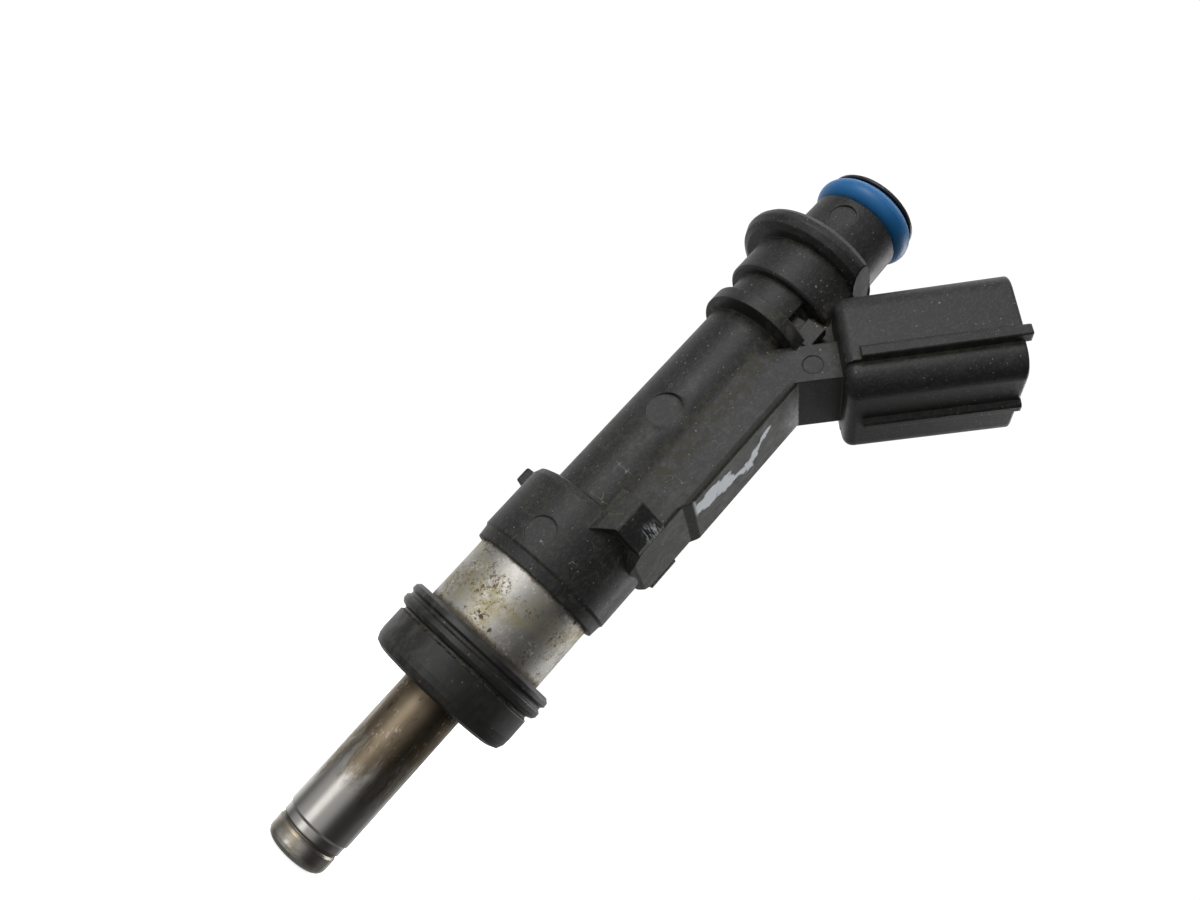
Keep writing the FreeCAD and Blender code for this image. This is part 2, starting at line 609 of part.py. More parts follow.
def valve_seat():
    """Seat body with the ball's guide bore, its four flow grooves, the cone and the outlet hole."""
    low = TIP_Z + CAP_END_WALL + ORIFICE_PLATE
    guide_r = BALL_R + RUNNING_CLEARANCE
    apex = BALL_Z - (BALL_R + SEAT_GAP) * math.sqrt(2)
    body = revolve([(SEAT_OUTLET_R, low), (NOZZLE_BORE_R, low), (NOZZLE_BORE_R, SEAT_TOP_Z),
                    (guide_r, SEAT_TOP_Z), (guide_r, apex + guide_r), (SEAT_OUTLET_R, apex + SEAT_OUTLET_R)])
    return body.cut(holes_on_circle(4, SEAT_GROOVE_CIRCLE_R, SEAT_GROOVE_R, apex + guide_r + 0.2, 45))


def needle_guide():
    """Bushing that keeps the needle central, drilled for the fuel to pass."""
    bush = ring(NEEDLE_R + RUNNING_CLEARANCE, NOZZLE_BORE_R, *GUIDE_Z)
    return bush.cut(holes_on_circle(6, GUIDE_HOLE_CIRCLE_R, GUIDE_HOLE_R, GUIDE_Z[0] - 1))


# ---------------------------------------------------------------- export
SUB_PARTS = {
    "overmould_body": overmould_body,
    "upper_o_ring": upper_o_ring,
    "lower_cushion": lower_cushion,
    "inlet_filter_frame": inlet_filter_frame,
    "inlet_filter_mesh": inlet_filter_mesh,
    "inlet_tube": inlet_tube,
    "solenoid_housing": solenoid_housing,
    "coil_bobbin": coil_bobbin,
    "coil_winding": coil_winding,
    "upper_yoke_ring": upper_yoke_ring,
    "nonmagnetic_ring": nonmagnetic_ring,
    "fixed_core": fixed_core,
    "adjuster_sleeve": adjuster_sleeve,
    "return_spring": return_spring,
    "armature": armature,
    "needle_tube": needle_tube,
    "valve_ball": valve_ball,
    "nozzle_tube": nozzle_tube,
    "nozzle_cap": nozzle_cap,
    "orifice_plate": orifice_plate,
    "valve_seat": valve_seat,
    "needle_guide": needle_guide,
    "terminal_left": lambda: terminal(-1),
    "terminal_right": lambda: terminal(1),
}


def main():
    os.makedirs("parts", exist_ok=True)
    for name, make in SUB_PARTS.items():
        shape = make()
        print(name, shape.ShapeType, "solids", len(shape.Solids), "valid", shape.isValid(),
              "volume", round(shape.Volume, 2))
        shape.exportStep("parts/" + name + ".step")


main()
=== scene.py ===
"""Looks of the fuel injector: camera, light, and a worn, dusty finish on every piece.

Metres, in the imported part's frame: +Z up the injector's axis to the fuel inlet, +X to the connector.
Finishes are laid out in millimetres of the same frame.
"""

import json
import math

import bpy
from mathutils import Euler, Matrix, Vector


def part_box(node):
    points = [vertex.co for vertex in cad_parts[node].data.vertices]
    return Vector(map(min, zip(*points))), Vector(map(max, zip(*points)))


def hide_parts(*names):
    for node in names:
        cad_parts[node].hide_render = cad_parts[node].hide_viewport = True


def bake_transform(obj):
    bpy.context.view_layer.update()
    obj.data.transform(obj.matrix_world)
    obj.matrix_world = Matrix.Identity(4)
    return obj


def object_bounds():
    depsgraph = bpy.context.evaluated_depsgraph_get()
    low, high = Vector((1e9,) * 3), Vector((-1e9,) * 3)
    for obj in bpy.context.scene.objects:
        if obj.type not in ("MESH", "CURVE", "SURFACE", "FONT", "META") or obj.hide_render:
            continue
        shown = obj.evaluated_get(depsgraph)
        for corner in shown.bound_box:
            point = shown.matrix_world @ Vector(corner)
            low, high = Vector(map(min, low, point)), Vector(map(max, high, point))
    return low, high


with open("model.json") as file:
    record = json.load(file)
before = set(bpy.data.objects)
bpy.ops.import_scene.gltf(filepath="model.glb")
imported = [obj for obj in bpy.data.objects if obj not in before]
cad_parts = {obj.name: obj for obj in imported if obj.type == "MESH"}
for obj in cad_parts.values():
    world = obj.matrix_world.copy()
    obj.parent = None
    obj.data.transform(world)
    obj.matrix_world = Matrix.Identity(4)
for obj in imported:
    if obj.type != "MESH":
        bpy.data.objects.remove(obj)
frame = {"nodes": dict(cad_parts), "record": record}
cad_low, cad_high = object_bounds()
NODES = frame["nodes"]
MM = 0.001

# Camera: heading and climb of the line of sight, and how far the picture is rolled about it.
CAMERA_PLACE = Vector((0.04750, -0.11335, 0.00771))
CAMERA_HEADING = math.radians(25.2)     # from +Y towards -X
CAMERA_CLIMB = math.radians(12.68)
CAMERA_ROLL = math.radians(42.66)
CAMERA_LENS = 30.0
CAMERA_SENSOR = 36.0

# Light on the object: directions it comes from, as (aim, cosine where it starts, cosine where it is full,
# strength), and the even light between them.
ROOM_LOBES = (
    ((-0.16, -0.97, 0.12), 0.25, 0.98, 0.42),      # front, wide
    ((-0.42, 0.88, 0.22), 0.35, 0.95, 0.44),       # behind
    ((0, 0, 1), 0.3, 1.0, 0.22),                   # above
    ((-0.20, -0.97, -0.06), 0.94, 0.995, 1.1),     # front, narrow, for the streak on the metals
    ((-0.78, 0.56, 0.28), 0.55, 0.95, 0.55),       # rim
)
ROOM_EVEN = 0.16
ROOM_DARK_SIDE = ((0.98, -0.1, 0.1), 0.60, 0.98)
ROOM_DARKENING = 0.75
BACKDROP_STRENGTH = 1.05

# Softboxes: (name, place from the part's middle, side, watts).
SOFTBOXES = (
    ("key", (-0.14, -0.52, 0.18), 0.24, 1.15),
    ("top", (-0.05, 0.05, 0.60), 0.50, 1.2),
    ("fill", (0.35, 0.50, 0.25), 0.40, 2.2),
)

FLOOR_HALF = 1.2
FLOOR_GAP = 0.0002            # under the nozzle's tip

# Places on the moulding that its finish needs, in millimetres. Where a pair's first value is the higher
# one, the mask falls as the place rises, as step() says.
WEB_FACE_X = 10.25            # web's outer face
WEB_ROOT_X = (1.5, 6.5)       # where the web meets the barrel
WEB_ROOT_Z = (33.0, 57.5)
ROOT_DIRT_X = (3.4, 5.4)
ROOT_DIRT_Z = (30.0, 60.0)
FOOT_Z = (17.0, 38.0)         # lower collar and the web's foot
COLLAR_X = (4.5, 7.6)         # under the upper collar, on the connector's side
COLLAR_Z = (64.0, 71.2)
PAINTED_SHADE_X = (7.25, 7.45)       # the collar's flat, behind the connector, darkened there by painted shade
PAINTED_SHADE_Z = (70.5, 75.2)
OUTER_DIRT_X = (9.3, 9.6)
OUTER_DIRT_Z = (57.0, 52.0)
LINT_Z = (52.0, 44.0)
RUBBED_CORNER = (9.2, -6.7, 30.1)    # near lug's outer corner
SEAM_Z = 83.53                # seal's moulding seam

# Brush strokes on the web: (low z, high z, y at the high end, slope of y along z, half width).
PAINT_STROKES = (
    (45.5, 50.2, -2.4, -0.62, 0.95),
    (41.0, 46.5, 1.6, 0.70, 0.85),
    (35.8, 42.6, -1.2, 0.30, 1.60),
    (36.5, 40.5, -3.2, 0.10, 1.0),
)
PAINT_LOW_END = (35.9, 36.6)

# Places on the metals, in millimetres.
CAN_DIRT_LOW = (9.3, 8.5)     # along the cushion's lip
CAN_DIRT_HIGH = (16.8, 17.4)  # along the moulding
OXIDE_Z = (-15.0, -7.0)
SOOT_Z = (-13.0, -3.0)
# band of painted shade on the nozzle, just under the cushion
CUSHION_SHADE_Z = (-2.6, -0.2)
WELD_Z = (-20.6, -20.0)       # groove between the nozzle and its cap
FLAKED_Z = (-15.0, -10.0)
CAP_TOP_Z = (-20.2, -20.6)

MESH_PITCH = 0.16
WINDING_PITCH = 0.14

# Colours on the moulding.
NYLON = ((0.0100, 0.0110, 0.0105, 1), (0.0225, 0.0238, 0.0220, 1))
NYLON_FIBRE = (0.058, 0.058, 0.058, 1)
NYLON_EDGE = (0.062, 0.063, 0.060, 1)
NYLON_HANDLED = (0.070, 0.071, 0.068, 1)
# Painted shade: near black for the collar's flat behind the connector.
NYLON_PAINTED_SHADE = (0.009, 0.009, 0.009, 1)
GRIME = (0.105, 0.092, 0.062, 1)
OUTER_DIRT = (0.042, 0.040, 0.028, 1)
DUST = (0.30, 0.285, 0.24, 1)
GRIT = (0.42, 0.36, 0.22, 1)
LINT = (0.26, 0.24, 0.19, 1)
PAINT = (0.80, 0.85, 0.90, 1)

# Colours on the rubbers and the other finishes.
RUBBER_DUST = (0.20, 0.18, 0.13, 1)
# Pale smear on the rubbers, with painted light: stronger on the lit −X side.
RUBBER_SMEAR_AND_SHEEN = (0.105, 0.100, 0.085, 1)
SEAL_BLUE = ((0.018, 0.165, 0.420, 1), (0.013, 0.130, 0.350, 1))
CUSHION_BLACK = ((0.020, 0.020, 0.019, 1), (0.011, 0.011, 0.011, 1))
RIM_BLACK = ((0.020, 0.020, 0.022, 1), (0.012, 0.012, 0.013, 1))
BOBBIN_TAN = ((0.26, 0.21, 0.14, 1), (0.18, 0.14, 0.09, 1))
INNER_DUST = (0.30, 0.28, 0.22, 1)
MESH_THREAD = ((0.62, 0.60, 0.52, 1), (0.42, 0.39, 0.31, 1))
# Painted shade in the mesh's openings.
MESH_OPENING_SHADE = (0.03, 0.03, 0.03, 1)
COPPER = ((0.52, 0.20, 0.09, 1), (0.36, 0.12, 0.05, 1))

# Colours of the metals, as (bright, dull), and of their stains.
DRAWN_STEEL = ((0.56, 0.55, 0.52, 1), (0.36, 0.35, 0.33, 1))
PLATED_STEEL = ((0.56, 0.55, 0.52, 1), (0.36, 0.35, 0.32, 1))
NOZZLE_STEEL = ((0.60, 0.585, 0.56, 1), (0.46, 0.445, 0.41, 1))
GROUND_STEEL = ((0.46, 0.46, 0.46, 1), (0.33, 0.33, 0.33, 1))
SPRING_STEEL = ((0.50, 0.49, 0.47, 1), (0.30, 0.29, 0.28, 1))
POLISHED_STEEL = ((0.66, 0.66, 0.65, 1), (0.50, 0.50, 0.49, 1))
TIN = ((0.66, 0.65, 0.60, 1), (0.48, 0.47, 0.42, 1))
OIL = (0.30, 0.26, 0.19, 1)
VARNISH = (0.40, 0.345, 0.19, 1)
RUST = (0.125, 0.078, 0.038, 1)
WORN_PLATING = (0.80, 0.77, 0.71, 1)
DEPOSIT = (0.10, 0.075, 0.045, 1)
OXIDE = (0.185, 0.140, 0.085, 1)
# Dark baked film, and painted shade just under the cushion.
SOOT_AND_SHADE = (0.060, 0.046, 0.030, 1)
BARE_FLECK = (0.62, 0.52, 0.40, 1)
STRAW = (0.34, 0.29, 0.20, 1)

# Closing spring: its wire, in metres, and its turns.
SPRING_WIRE_R = 0.25 * MM
SPRING_TURNS = 8
SPRING_END_TURNS = 1          # turns laid close at each end
SPRING_CLOSE_PITCH = 2.02 * SPRING_WIRE_R
SPRING_END_GAP = 0.02 * MM
SPRING_SIDES = 10             # points round the wire
SPRING_STEPS = 28             # points along one turn


# ------------------------------------------------------------------ node helpers
def add(tree, kind, inputs=None, **settings):
    """A new shader node with its settings, and its inputs linked or set."""
    made = tree.nodes.new(kind)
    for name, value in settings.items():
        setattr(made, name, value)
    for key, value in (inputs or {}).items():
        if isinstance(value, bpy.types.NodeSocket):
            tree.links.new(value, made.inputs[key])
        else:
            made.inputs[key].default_value = value
    return made


def calc(tree, operation, a, b=0.0):
    return add(tree, "ShaderNodeMath", {0: a, 1: b}, operation=operation).outputs[0]


def times(tree, product, *factors):
    for factor in factors:
        product = calc(tree, "MULTIPLY", product, factor)
    return product


def plus(tree, total, *terms):
    for term in terms:
        total = calc(tree, "ADD", total, term)
    return total


def minus(tree, a, b):
    return calc(tree, "SUBTRACT", a, b)


def place_mm(tree, stretch=(1, 1, 1)):
    """Position on the part in millimetres, optionally stretched for streaks and brushing."""
    coords = add(tree, "ShaderNodeTexCoord").outputs["Object"]
    scale = [1000.0 * s for s in stretch]
    return add(tree, "ShaderNodeVectorMath", {0: coords, 1: scale}, operation="MULTIPLY").outputs[0]


def axes_mm(tree):
    """Position as X, Y and Z sockets in millimetres."""
    return add(tree, "ShaderNodeSeparateXYZ", {0: place_mm(tree)}).outputs


def noise(tree, place, scale, detail=3.0, roughness=0.55, distortion=0.0):
    return add(tree, "ShaderNodeTexNoise", {"Vector": place, "Scale": scale, "Detail": detail,
                                            "Roughness": roughness, "Distortion": distortion}).outputs["Fac"]


def ragged(tree, value, texture, reach):
    """The value moved up and down by a texture, so that what it limits gets a ragged edge."""
    return plus(tree, value, times(tree, minus(tree, texture, 0.5), reach))


def step(tree, value, low, high):
    """0 below low, 1 above high, smooth between; falls instead where low is above high."""
    ends = {"From Min": low, "From Max": high, "To Min": 0.0, "To Max": 1.0}
    if low > high:
        ends = {"From Min": high, "From Max": low, "To Min": 1.0, "To Max": 0.0}
    made = add(tree, "ShaderNodeMapRange", {"Value": value, **ends}, interpolation_type="SMOOTHSTEP")
    return made.outputs[0]


def band(tree, value, low, high, soft):
    """1 between low and high, with soft edges."""
    return times(tree, step(tree, value, low - soft, low), step(tree, value, high + soft, high))


def blend(tree, share, a, b):
    """Colour a where share is 0, colour b where it is 1."""
    made = add(tree, "ShaderNodeMix", data_type="RGBA")
    for socket, value in zip((made.inputs[0], made.inputs[6], made.inputs[7]), (share, a, b)):
        if isinstance(value, bpy.types.NodeSocket):
            tree.links.new(value, socket)
        else:
            socket.default_value = value
    return made.outputs[2]


def coat(tree, base, colour, mask, share):
    """The colour laid over base where the mask is, up to the given share."""
    return blend(tree, times(tree, mask, share), base, colour)


def either(tree, *masks):
    joined = masks[0]
    for mask in masks[1:]:
        joined = calc(tree, "MAXIMUM", joined, mask)
    return joined


def crevice(tree, distance_mm):
    """1 deep in corners and grooves, 0 on open surfaces."""
    shade = add(tree, "ShaderNodeAmbientOcclusion", {"Distance": distance_mm * MM},
                samples=8, only_local=False)
    return minus(tree, 1.0, shade.outputs["AO"])


def rounded(tree, radius_mm):
    """Normal with the hard edges eased, and a mask of those edges. The radius may vary over the surface."""
    metres = times(tree, radius_mm, MM)
    eased = add(tree, "ShaderNodeBevel", {"Radius": metres}, samples=8).outputs[0]
    true = add(tree, "ShaderNodeNewGeometry").outputs["Normal"]
    facing = add(tree, "ShaderNodeVectorMath", {0: eased, 1: true},
                 operation="DOT_PRODUCT").outputs["Value"]
    return eased, step(tree, facing, 0.995, 0.86)


def specks(tree, place, cell_mm, size, share, seed):
    """Sparse irregular dust grains: size is a grain's radius in cells, share is how many cells have one."""
    shift = (seed, seed * 1.7, seed * 0.6)
    shifted = add(tree, "ShaderNodeVectorMath", {0: place, 1: shift}).outputs[0]
    wobble = add(tree, "ShaderNodeTexNoise", {"Vector": shifted, "Scale": 3.0 / cell_mm}).outputs["Color"]
    bent = add(tree, "ShaderNodeVectorMath", {0: wobble, 1: [cell_mm * 0.35] * 3, 2: shifted},
               operation="MULTIPLY_ADD").outputs[0]
    cells = add(tree, "ShaderNodeTexVoronoi", {"Vector": bent, "Scale": 1.0 / cell_mm})
    chosen = add(tree, "ShaderNodeSeparateColor", {0: cells.outputs["Color"]}).outputs[0]
    near = step(tree, cells.outputs["Distance"], size, size * 0.55)
    return times(tree, near, calc(tree, "LESS_THAN", chosen, share))


def bump(tree, height, strength, distance_mm, normal=None):
    inputs = {"Height": height, "Strength": strength, "Distance": distance_mm * MM}
    if normal is not None:
        inputs["Normal"] = normal
    return add(tree, "ShaderNodeBump", inputs).outputs[0]


def surface(name, **fixed):
    """A new material with a Principled shader, its fixed values set on the shader's own sockets."""
    made = bpy.data.materials.new(name)
    made.use_nodes = True
    shader = made.node_tree.nodes["Principled BSDF"]
    for key, value in fixed.items():
        shader.inputs[key.replace("_", " ")].default_value = value
    return made, made.node_tree, shader


def feed(tree, shader, **sockets):
    for key, socket in sockets.items():
        tree.links.new(socket, shader.inputs[key.replace("_", " ")])


# ------------------------------------------------------------------ moulded plastic
def paint_daub(tree, x, y, z):
    """Quick brush strokes of pale paint on the web's outer face, worn through."""
    on_face = step(tree, x, WEB_FACE_X - 0.35, WEB_FACE_X - 0.1)
    wander = times(tree, minus(tree, noise(tree, place_mm(tree), 0.45, 2.0), 0.5), 5.0)
    bristle = noise(tree, place_mm(tree, (1, 3.2, 0.35)), 1.1, 4.0, 0.7)
    strokes = []
    for low, high, start_y, slope, half_width in PAINT_STROKES:
        centre = plus(tree, times(tree, minus(tree, z, high), slope), start_y, wander)
        off = calc(tree, "ABSOLUTE", minus(tree, y, centre))
        across = step(tree, off, half_width * 1.35, half_width * 0.7)
        strokes.append(times(tree, across, band(tree, z, low, high, 0.6)))
    daub = either(tree, *strokes)
    worn = step(tree, plus(tree, bristle, times(tree, daub, 0.34)), 0.60, 0.70)
    low_end = step(tree, z, *PAINT_LOW_END)
    return times(tree, times(tree, daub, worn), times(tree, on_face, low_end))


def lint(tree, place, z):
    """A few thin, curled fibres: contour lines of a smooth noise, kept only in scattered patches."""
    field = noise(tree, place, 0.42, 1.0, 0.4)
    off = calc(tree, "ABSOLUTE", minus(tree, field, 0.5))
    patches = step(tree, noise(tree, place, 0.33, 2.0), 0.57, 0.60)
    return times(tree, step(tree, off, 0.0042, 0.0018), patches, step(tree, z, *LINT_Z))


def scuff(tree, axes):
    """Pale rub on the near lug's outer corner."""
    squares = []
    for socket, centre in zip(axes, RUBBED_CORNER):
        away = minus(tree, socket, centre)
        squares.append(times(tree, away, away))
    distance = calc(tree, "SQRT", plus(tree, *squares))
    scratches = noise(tree, place_mm(tree, (0.5, 0.5, 3.0)), 1.4, 5.0, 0.75)
    return times(tree, step(tree, distance, 1.7, 0.5), step(tree, scratches, 0.50, 0.58))


def nylon_grime(tree, x, z, patchy):
    """Grime held in corners, on the foot, and along the web's root."""
    cornered = times(tree, step(tree, crevice(tree, 2.2), 0.14, 0.50), step(tree, patchy, 0.42, 0.64))
    foot = times(tree, band(tree, z, *FOOT_Z, 5.0), step(tree, patchy, 0.50, 0.70))
    along_root = times(tree, band(tree, x, *ROOT_DIRT_X, 1.6), band(tree, z, *ROOT_DIRT_Z, 4.0))
    root = times(tree, along_root, step(tree, patchy, 0.42, 0.62))
    return either(tree, cornered, times(tree, foot, 0.60), times(tree, root, 0.85))


def nylon_grit(tree, place, x, z):
    """Sand caught under the upper collar."""
    under_collar = times(tree, band(tree, z, *COLLAR_Z, 0.8), band(tree, x, *COLLAR_X, 1.2))
    grains = specks(tree, place, 0.62, 0.30, 0.62, 7.0)
    return times(tree, grains, under_collar, step(tree, noise(tree, place, 0.5, 2.0), 0.47, 0.60))


def black_nylon():
    """Glass-filled nylon: fibre grain, eased corners, then grime, dust, grit, lint and paint over it."""
    made, tree, shader = surface("moulded_nylon", IOR=1.48)
    place = place_mm(tree)
    x, y, z = axes_mm(tree)
    web_root = times(tree, band(tree, x, *WEB_ROOT_X, 1.5), band(tree, z, *WEB_ROOT_Z, 2.0))
    normal, edge = rounded(tree, plus(tree, 0.28, times(tree, web_root, 1.5)))
    edge = times(tree, edge, minus(tree, 1.0, web_root))
    fibre = noise(tree, place_mm(tree, (1, 1, 0.45)), 4.6, 4.0, 0.65)
    cloudy = noise(tree, place, 0.16, 4.0, 0.6)
    handled = noise(tree, place, 0.55, 5.0, 0.62, 0.6)
    patchy = noise(tree, place, 0.9, 5.0, 0.68)

    grime = nylon_grime(tree, x, z, patchy)
    dust = either(tree, specks(tree, place, 1.3, 0.085, 0.50, 3.0),
                  specks(tree, place, 2.9, 0.060, 0.6, 11.0),
                  specks(tree, place, 0.7, 0.14, 0.40, 17.0))
    grit = nylon_grit(tree, place, x, z)
    # Painted shade on the collar's flat behind the connector: darker colour and less sheen.
    painted_shade_flat = times(tree, band(tree, z, *PAINTED_SHADE_Z, 0.4), band(tree, x, *PAINTED_SHADE_X, 0.2))
    outer_face = times(tree, step(tree, x, *OUTER_DIRT_X), step(tree, z, *OUTER_DIRT_Z))
    outer_dirt = times(tree, outer_face, plus(tree, 0.45, times(tree, patchy, 0.6)))
    daub = either(tree, paint_daub(tree, x, y, z), times(tree, scuff(tree, (x, y, z)), 0.55))

    base = blend(tree, cloudy, *NYLON)
    base = coat(tree, base, NYLON_FIBRE, step(tree, fibre, 0.48, 0.66), 0.60)
    base = coat(tree, base, NYLON_EDGE, edge, 0.40)
    base = coat(tree, base, GRIME, grime, 0.55)
    base = coat(tree, base, NYLON_HANDLED, step(tree, handled, 0.46, 0.74), 0.30)
    base = coat(tree, base, DUST, dust, 0.75)
    base = coat(tree, base, GRIT, grit, 0.85)
    # painted shade on the collar's flat
    base = coat(tree, base, NYLON_PAINTED_SHADE, painted_shade_flat, 0.65)
    base = coat(tree, base, OUTER_DIRT, outer_dirt, 0.5)
    base = coat(tree, base, LINT, lint(tree, place, z), 0.55)
    base = blend(tree, daub, base, PAINT)

    rough = plus(tree, 0.34, times(tree, handled, 0.30),
                 times(tree, either(tree, grime, dust, outer_dirt), 0.32))
    height = plus(tree, times(tree, fibre, 0.55), times(tree, cloudy, 0.8))
    grains = plus(tree, times(tree, dust, 1.6), times(tree, daub, 1.2))
    height = plus(tree, height, plus(tree, grains, times(tree, grit, 1.8)))
    # less sheen where the painted shade is
    sheen = minus(tree, 0.38, times(tree, painted_shade_flat, 0.34))
    feed(tree, shader, Base_Color=base, Roughness=rough, Specular_IOR_Level=sheen,
         Normal=bump(tree, height, 0.35, 0.05, normal))
    return made


def rubber(name, tones, rough_low, dusty, seam_z=None):
    """Satin or matt moulded rubber with fine skin, dust held in its grooves and handling marks; the pale
    smear is laid stronger on the lit −X side, as painted light.
    """
    tint, deep = tones
    made, tree, shader = surface(name, IOR=1.50, Specular_IOR_Level=0.40)
    place = place_mm(tree)
    x, _, z = axes_mm(tree)
    skin = noise(tree, place, 6.5, 4.0, 0.6)
    patch = noise(tree, place, 0.35, 4.0, 0.6)
    clumps = noise(tree, place_mm(tree, (1, 1, 1.6)), 1.6, 5.0, 0.7)
    held = times(tree, step(tree, crevice(tree, 1.6), 0.30, 0.68), step(tree, clumps, 0.40, 0.60))
    grains = specks(tree, place, 1.1, 0.12, 0.5, 5.0)
    smear_and_sheen = step(tree, noise(tree, place_mm(tree, (1, 1, 0.6)), 0.7, 6.0, 0.75), 0.42, 0.66)
    # The smear is real everywhere, and painted light where it is made stronger on the lit −X side.
    smear_and_sheen = times(tree, smear_and_sheen, plus(tree, 0.35, step(tree, x, 3.0, -8.0)))
    base = blend(tree, patch, deep, tint)
    base = coat(tree, base, RUBBER_DUST, either(tree, held, grains), dusty)
    base = coat(tree, base, RUBBER_SMEAR_AND_SHEEN, smear_and_sheen, dusty * 0.55)
    rough = plus(tree, rough_low, times(tree, patch, 0.16), times(tree, held, 0.2))
    height = plus(tree, times(tree, skin, 0.5), times(tree, held, 1.5), grains)
    if seam_z is not None:
        height = plus(tree, height, times(tree, band(tree, z, seam_z, seam_z + 0.05, 0.05), 1.5))
    normal = rounded(tree, 0.12)[0]
    feed(tree, shader, Base_Color=base, Roughness=rough, Normal=bump(tree, height, 0.4, 0.05, normal))
    return made


# ------------------------------------------------------------------ metals
def turned(tree):
    """Fine lines round the axis, as turning, grinding and drawing leave them."""
    return noise(tree, place_mm(tree, (0.35, 0.35, 26.0)), 0.55, 5.0, 0.7)


def metal(name, tones, rough_low, rough_span, stains_and_shade=(), lines=0.30, stain_rough=0.22):
    """Bare or plated steel: turned lines, uneven tarnish, and stain coats, some of them painted shade, as
    (colour, mask maker) pairs.
    """
    bright, dull = tones
    made, tree, shader = surface(name, Metallic=1.0)
    place = place_mm(tree)
    marks = turned(tree)
    cloud = noise(tree, place, 0.40, 9.0, 0.78)
    base = blend(tree, cloud, bright, dull)
    base = coat(tree, base, dull, marks, 0.30)
    rough = plus(tree, rough_low, times(tree, cloud, rough_span))
    height = times(tree, marks, lines)
    for colour, make_mask in stains_and_shade:
        mask = make_mask(tree, place)
        base = blend(tree, mask, base, colour)
        rough = plus(tree, rough, times(tree, mask, stain_rough))
        height = plus(tree, height, times(tree, mask, 0.25))
    normal, edge = rounded(tree, 0.12)
    base = coat(tree, base, bright, edge, 0.4)
    feed(tree, shader, Base_Color=base, Roughness=rough, Normal=bump(tree, height, 0.5, 0.02, normal))
    return made


def can_varnish(tree, place):
    """Yellow-olive film in soft patches, finely mottled."""
    patches = step(tree, noise(tree, place, 0.16, 2.0), 0.40, 0.62)
    mottle = step(tree, noise(tree, place, 0.9, 10.0, 0.85), 0.40, 0.58)
    return times(tree, mottle, patches, 0.85)


def can_rust(tree, place):
    """Fine brown specks in clusters, and a few round spots."""
    fine = step(tree, noise(tree, place, 2.2, 10.0, 0.85), 0.525, 0.565)
    patches = step(tree, noise(tree, place, 0.30, 4.0, 0.7), 0.46, 0.56)
    spots = specks(tree, place, 1.7, 0.22, 0.30, 21.0)
    return times(tree, either(tree, times(tree, fine, patches), spots), 0.88)


def can_flecks(tree, place):
    """Bright worn flecks in clusters, where the plating has been rubbed."""
    flakes = step(tree, noise(tree, place, 2.4, 8.0, 0.80), 0.535, 0.575)
    where = step(tree, noise(tree, place, 0.26, 3.0), 0.47, 0.60)
    return times(tree, flakes, where, 0.75)


def can_dirt_line(tree, place):
    """Brown deposit where the can meets the cushion and the moulding."""
    z = ragged(tree, axes_mm(tree)[2], noise(tree, place, 0.9, 5.0, 0.7), 1.8)
    return times(tree, either(tree, step(tree, z, *CAN_DIRT_LOW), step(tree, z, *CAN_DIRT_HIGH)), 0.8)


def nozzle_heat(tree, place):
    """Brown oxide on the nozzle's upper half, fading towards the tip in ragged streaks."""
    streak = noise(tree, place_mm(tree, (1, 1, 0.30)), 0.55, 9.0, 0.74)
    return times(tree, step(tree, ragged(tree, axes_mm(tree)[2], streak, 34.0), *OXIDE_Z), 0.92)


def nozzle_soot_and_shade(tree, place):
    """Dark baked film in the oxide's middle and in the weld groove, and painted shade in a dark band just
    under the cushion.
    """
    z = axes_mm(tree)[2]
    film = noise(tree, place_mm(tree, (1, 1, 0.32)), 0.50, 10.0, 0.80)
    upper = times(tree, step(tree, z, *SOOT_Z), step(tree, film, 0.49, 0.60))
    # Painted shade: a dark band just under the cushion.
    upper = either(tree, upper, times(tree, step(tree, z, *CUSHION_SHADE_Z), 0.8))
    weld = times(tree, band(tree, z, *WELD_Z, 0.2), 0.9)
    return times(tree, either(tree, upper, weld), 0.75)


def nozzle_flecks(tree, place):
    """Bare metal where the oxide has flaked off, in clusters."""
    flakes = noise(tree, place_mm(tree, (1, 1, 0.55)), 2.6, 6.0, 0.75)
    where = noise(tree, place_mm(tree, (1, 1, 0.6)), 0.32, 3.0)
    bare = times(tree, step(tree, flakes, 0.56, 0.62), step(tree, where, 0.47, 0.60))
    return times(tree, bare, step(tree, axes_mm(tree)[2], *FLAKED_Z), 0.85)


def tip_tarnish(tree, place):
    """Straw-coloured blotches on the cap."""
    blotch = step(tree, noise(tree, place, 0.55, 8.0, 0.72), 0.42, 0.62)
    return times(tree, step(tree, axes_mm(tree)[2], *CAP_TOP_Z), blotch, 0.8)


def fine_oil(tree, place):
    return times(tree, step(tree, noise(tree, place, 0.7, 4.0, 0.6), 0.5, 0.75), 0.35)


# ------------------------------------------------------------------ other finishes
def filter_weave():
    """Woven nylon mesh: square openings in a fine warp and weft, the openings painted near black as painted
    shade for the dark inside seen through them.
    """
    made, tree, shader = surface("woven_mesh", Roughness=0.55)
    x, y, z = axes_mm(tree)
    angle = times(tree, calc(tree, "ARCTAN2", y, x), 2.2)
    threads = []
    for along in (angle, z):
        wave = calc(tree, "SINE", times(tree, along, 2 * math.pi / MESH_PITCH))
        threads.append(step(tree, wave, -0.25, 0.35))
    cloth = either(tree, *threads)
    tint = blend(tree, noise(tree, place_mm(tree), 0.8, 4.0), *MESH_THREAD)
    base = blend(tree, cloth, MESH_OPENING_SHADE, tint)
    feed(tree, shader, Base_Color=base, Normal=bump(tree, cloth, 0.6, 0.03))
    return made


